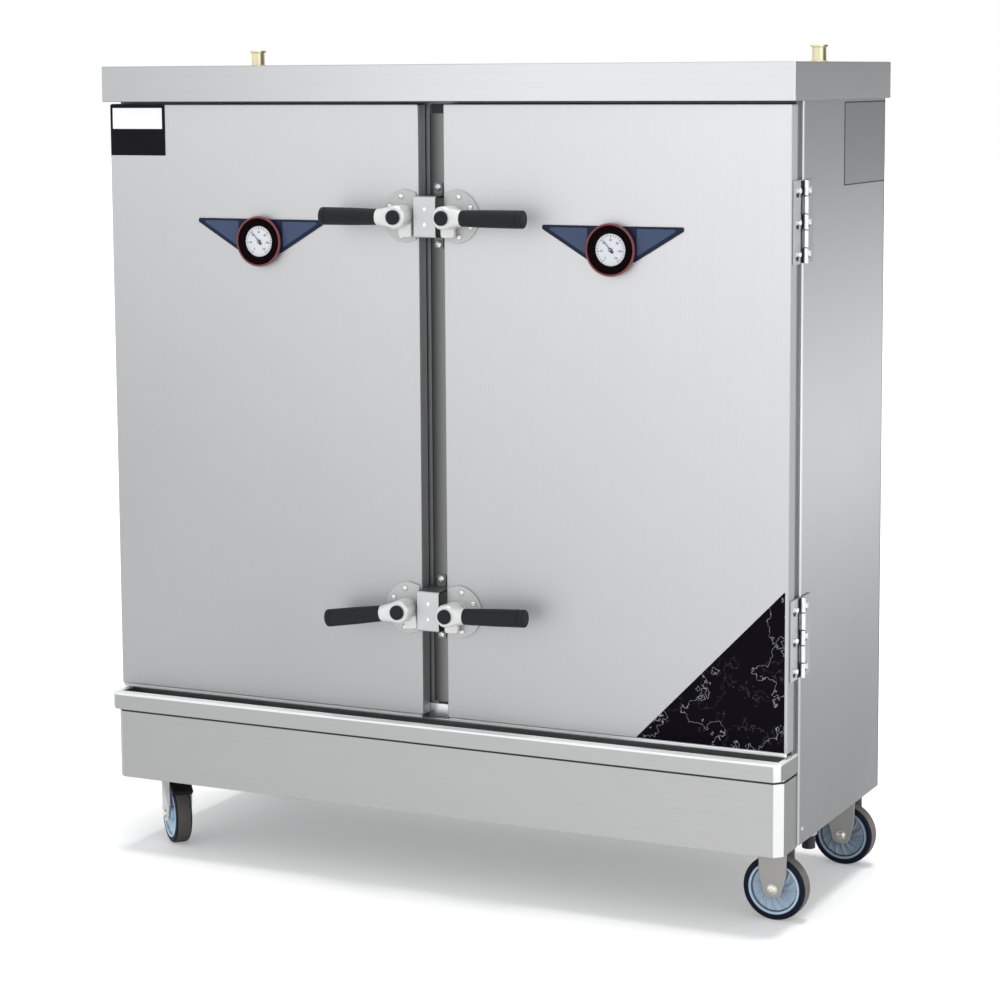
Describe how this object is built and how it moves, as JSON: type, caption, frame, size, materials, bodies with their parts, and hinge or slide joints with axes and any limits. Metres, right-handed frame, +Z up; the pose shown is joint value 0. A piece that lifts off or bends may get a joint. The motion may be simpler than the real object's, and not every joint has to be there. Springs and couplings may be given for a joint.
{
  "type": "steamer cabinet",
  "caption": "Tall wheeled steam cabinet with insulated compartments, overlay doors with lever latches, dial thermometers, a drip trough and casters.",
  "frame": {"origin": "on the floor, under the middle of the whole cabinet's box", "axes": "+X to the viewer's right when facing the doors, +Y towards the rear, +Z up"},
  "size_m": [1.4206, 0.6087, 1.5783],
  "materials": {
    "stainless_steel": "satin",
    "post_steel": "satin",
    "liner_steel": "satin",
    "hinge_steel": "satin",
    "cast_metal": "satin",
    "zinc_plate": "satin",
    "brass": "satin",
    "black_rubber": "matte",
    "tyre_rubber": "matte",
    "seal_rubber": "matte",
    "black_plastic": "satin",
    "wheel_plastic": "satin",
    "needle_paint": "matte"
  },
  "bodies": {
    "cabinet": {"top_cover": "stainless_steel", "left_side_panel": "stainless_steel", "right_side_panel": "stainless_steel", "rear_panel": "stainless_steel", "base_frame": "stainless_steel", "face_frame": "post_steel", "left_chamber": "liner_steel", "right_chamber": "liner_steel", "drip_trough": "stainless_steel", "front_apron": "stainless_steel", "left_heater": "liner_steel", "right_heater": "liner_steel", "left_rack": "liner_steel", "right_rack": "liner_steel", "left_vent": "brass", "right_vent": "brass", "left_upper_hinge_body_leaf": "hinge_steel", "left_lower_hinge_body_leaf": "hinge_steel", "right_upper_hinge_body_leaf": "hinge_steel", "right_lower_hinge_body_leaf": "hinge_steel", "upper_catch_bracket": "stainless_steel", "lower_catch_bracket": "stainless_steel", "front_left_caster_plate": "zinc_plate", "rear_left_caster_plate": "zinc_plate", "front_right_caster_fork": "zinc_plate", "rear_right_caster_fork": "zinc_plate"},
    "left_door_body": {"left_door": "stainless_steel", "left_door_gasket": "seal_rubber", "left_gauge_case": "black_plastic", "left_upper_hinge_door_leaf": "hinge_steel", "left_lower_hinge_door_leaf": "hinge_steel", "left_upper_latch_base": "cast_metal", "left_lower_latch_base": "cast_metal"},
    "right_door_body": {"right_door": "stainless_steel", "right_door_gasket": "seal_rubber", "right_gauge_case": "black_plastic", "right_upper_hinge_door_leaf": "hinge_steel", "right_lower_hinge_door_leaf": "hinge_steel", "right_upper_latch_base": "cast_metal", "right_lower_latch_base": "cast_metal"},
    "left_upper_lever_body": {"left_upper_latch_lever": "cast_metal", "left_upper_latch_grip": "black_rubber"},
    "left_lower_lever_body": {"left_lower_latch_lever": "cast_metal", "left_lower_latch_grip": "black_rubber"},
    "right_upper_lever_body": {"right_upper_latch_lever": "cast_metal", "right_upper_latch_grip": "black_rubber"},
    "right_lower_lever_body": {"right_lower_latch_lever": "cast_metal", "right_lower_latch_grip": "black_rubber"},
    "left_needle_body": {"left_gauge_needle": "needle_paint"},
    "right_needle_body": {"right_gauge_needle": "needle_paint"},
    "front_left_swivel_body": {"front_left_caster_fork": "zinc_plate"},
    "rear_left_swivel_body": {"rear_left_caster_fork": "zinc_plate"},
    "front_left_wheel_body": {"front_left_caster_wheel": "wheel_plastic", "front_left_caster_tyre": "tyre_rubber"},
    "rear_left_wheel_body": {"rear_left_caster_wheel": "wheel_plastic", "rear_left_caster_tyre": "tyre_rubber"},
    "front_right_wheel_body": {"front_right_caster_wheel": "wheel_plastic", "front_right_caster_tyre": "tyre_rubber"},
    "rear_right_wheel_body": {"rear_right_caster_wheel": "wheel_plastic", "rear_right_caster_tyre": "tyre_rubber"}
  },
  "joints": [
    {"name": "left_door_swing", "type": "hinge", "parent": "cabinet", "child": "left_door_body", "pos_m": [-0.7055, -0.18615, 0.9], "axis": [0, 0, -1], "range_deg": [0, 160]},
    {"name": "right_door_swing", "type": "hinge", "parent": "cabinet", "child": "right_door_body", "pos_m": [0.7055, -0.18615, 0.9], "axis": [0, 0, 1], "range_deg": [0, 160]},
    {"name": "left_upper_lever_turn", "type": "hinge", "parent": "left_door_body", "child": "left_upper_lever_body", "pos_m": [-0.0495, -0.23935, 1.2685], "axis": [0, -1, 0], "range_deg": [0, 90]},
    {"name": "left_lower_lever_turn", "type": "hinge", "parent": "left_door_body", "child": "left_lower_lever_body", "pos_m": [-0.0495, -0.23935, 0.535], "axis": [0, -1, 0], "range_deg": [-9, 81]},
    {"name": "right_upper_lever_turn", "type": "hinge", "parent": "right_door_body", "child": "right_upper_lever_body", "pos_m": [0.0495, -0.23935, 1.2685], "axis": [0, 1, 0], "range_deg": [0, 90]},
    {"name": "right_lower_lever_turn", "type": "hinge", "parent": "right_door_body", "child": "right_lower_lever_body", "pos_m": [0.0495, -0.23935, 0.535], "axis": [0, 1, 0], "range_deg": [0, 93]},
    {"name": "left_needle_turn", "type": "hinge", "parent": "left_door_body", "child": "left_needle_body", "pos_m": [-0.362, -0.24885, 1.2155], "axis": [0, 1, 0], "range_deg": [-95, 175], "stiffness_Nm_per_rad": 0.0005},
    {"name": "right_needle_turn", "type": "hinge", "parent": "right_door_body", "child": "right_needle_body", "pos_m": [0.362, -0.24885, 1.2155], "axis": [0, 1, 0], "range_deg": [-95, 175], "stiffness_Nm_per_rad": 0.0005},
    {"name": "front_left_swivel", "type": "hinge", "parent": "cabinet", "child": "front_left_swivel_body", "pos_m": [-0.6464, -0.14765, 0.1], "axis": [0, 0, 1], "continuous": true},
    {"name": "rear_left_swivel", "type": "hinge", "parent": "cabinet", "child": "rear_left_swivel_body", "pos_m": [-0.6464, 0.23935, 0.1], "axis": [0, 0, 1], "continuous": true},
    {"name": "front_left_wheel_spin", "type": "hinge", "parent": "front_left_swivel_body", "child": "front_left_wheel_body", "pos_m": [-0.61715, -0.17493, 0.06], "axis": [0.682, 0.7314, 0], "continuous": true},
    {"name": "rear_left_wheel_spin", "type": "hinge", "parent": "rear_left_swivel_body", "child": "rear_left_wheel_body", "pos_m": [-0.60776, 0.2497, 0.06], "axis": [-0.2588, 0.9659, 0], "continuous": true},
    {"name": "front_right_wheel_spin", "type": "hinge", "parent": "cabinet", "child": "front_right_wheel_body", "pos_m": [0.6464, -0.14765, 0.06], "axis": [0, 1, 0], "continuous": true},
    {"name": "rear_right_wheel_spin", "type": "hinge", "parent": "cabinet", "child": "rear_right_wheel_body", "pos_m": [0.6464, 0.23935, 0.06], "axis": [0, 1, 0], "continuous": true}
  ]
}
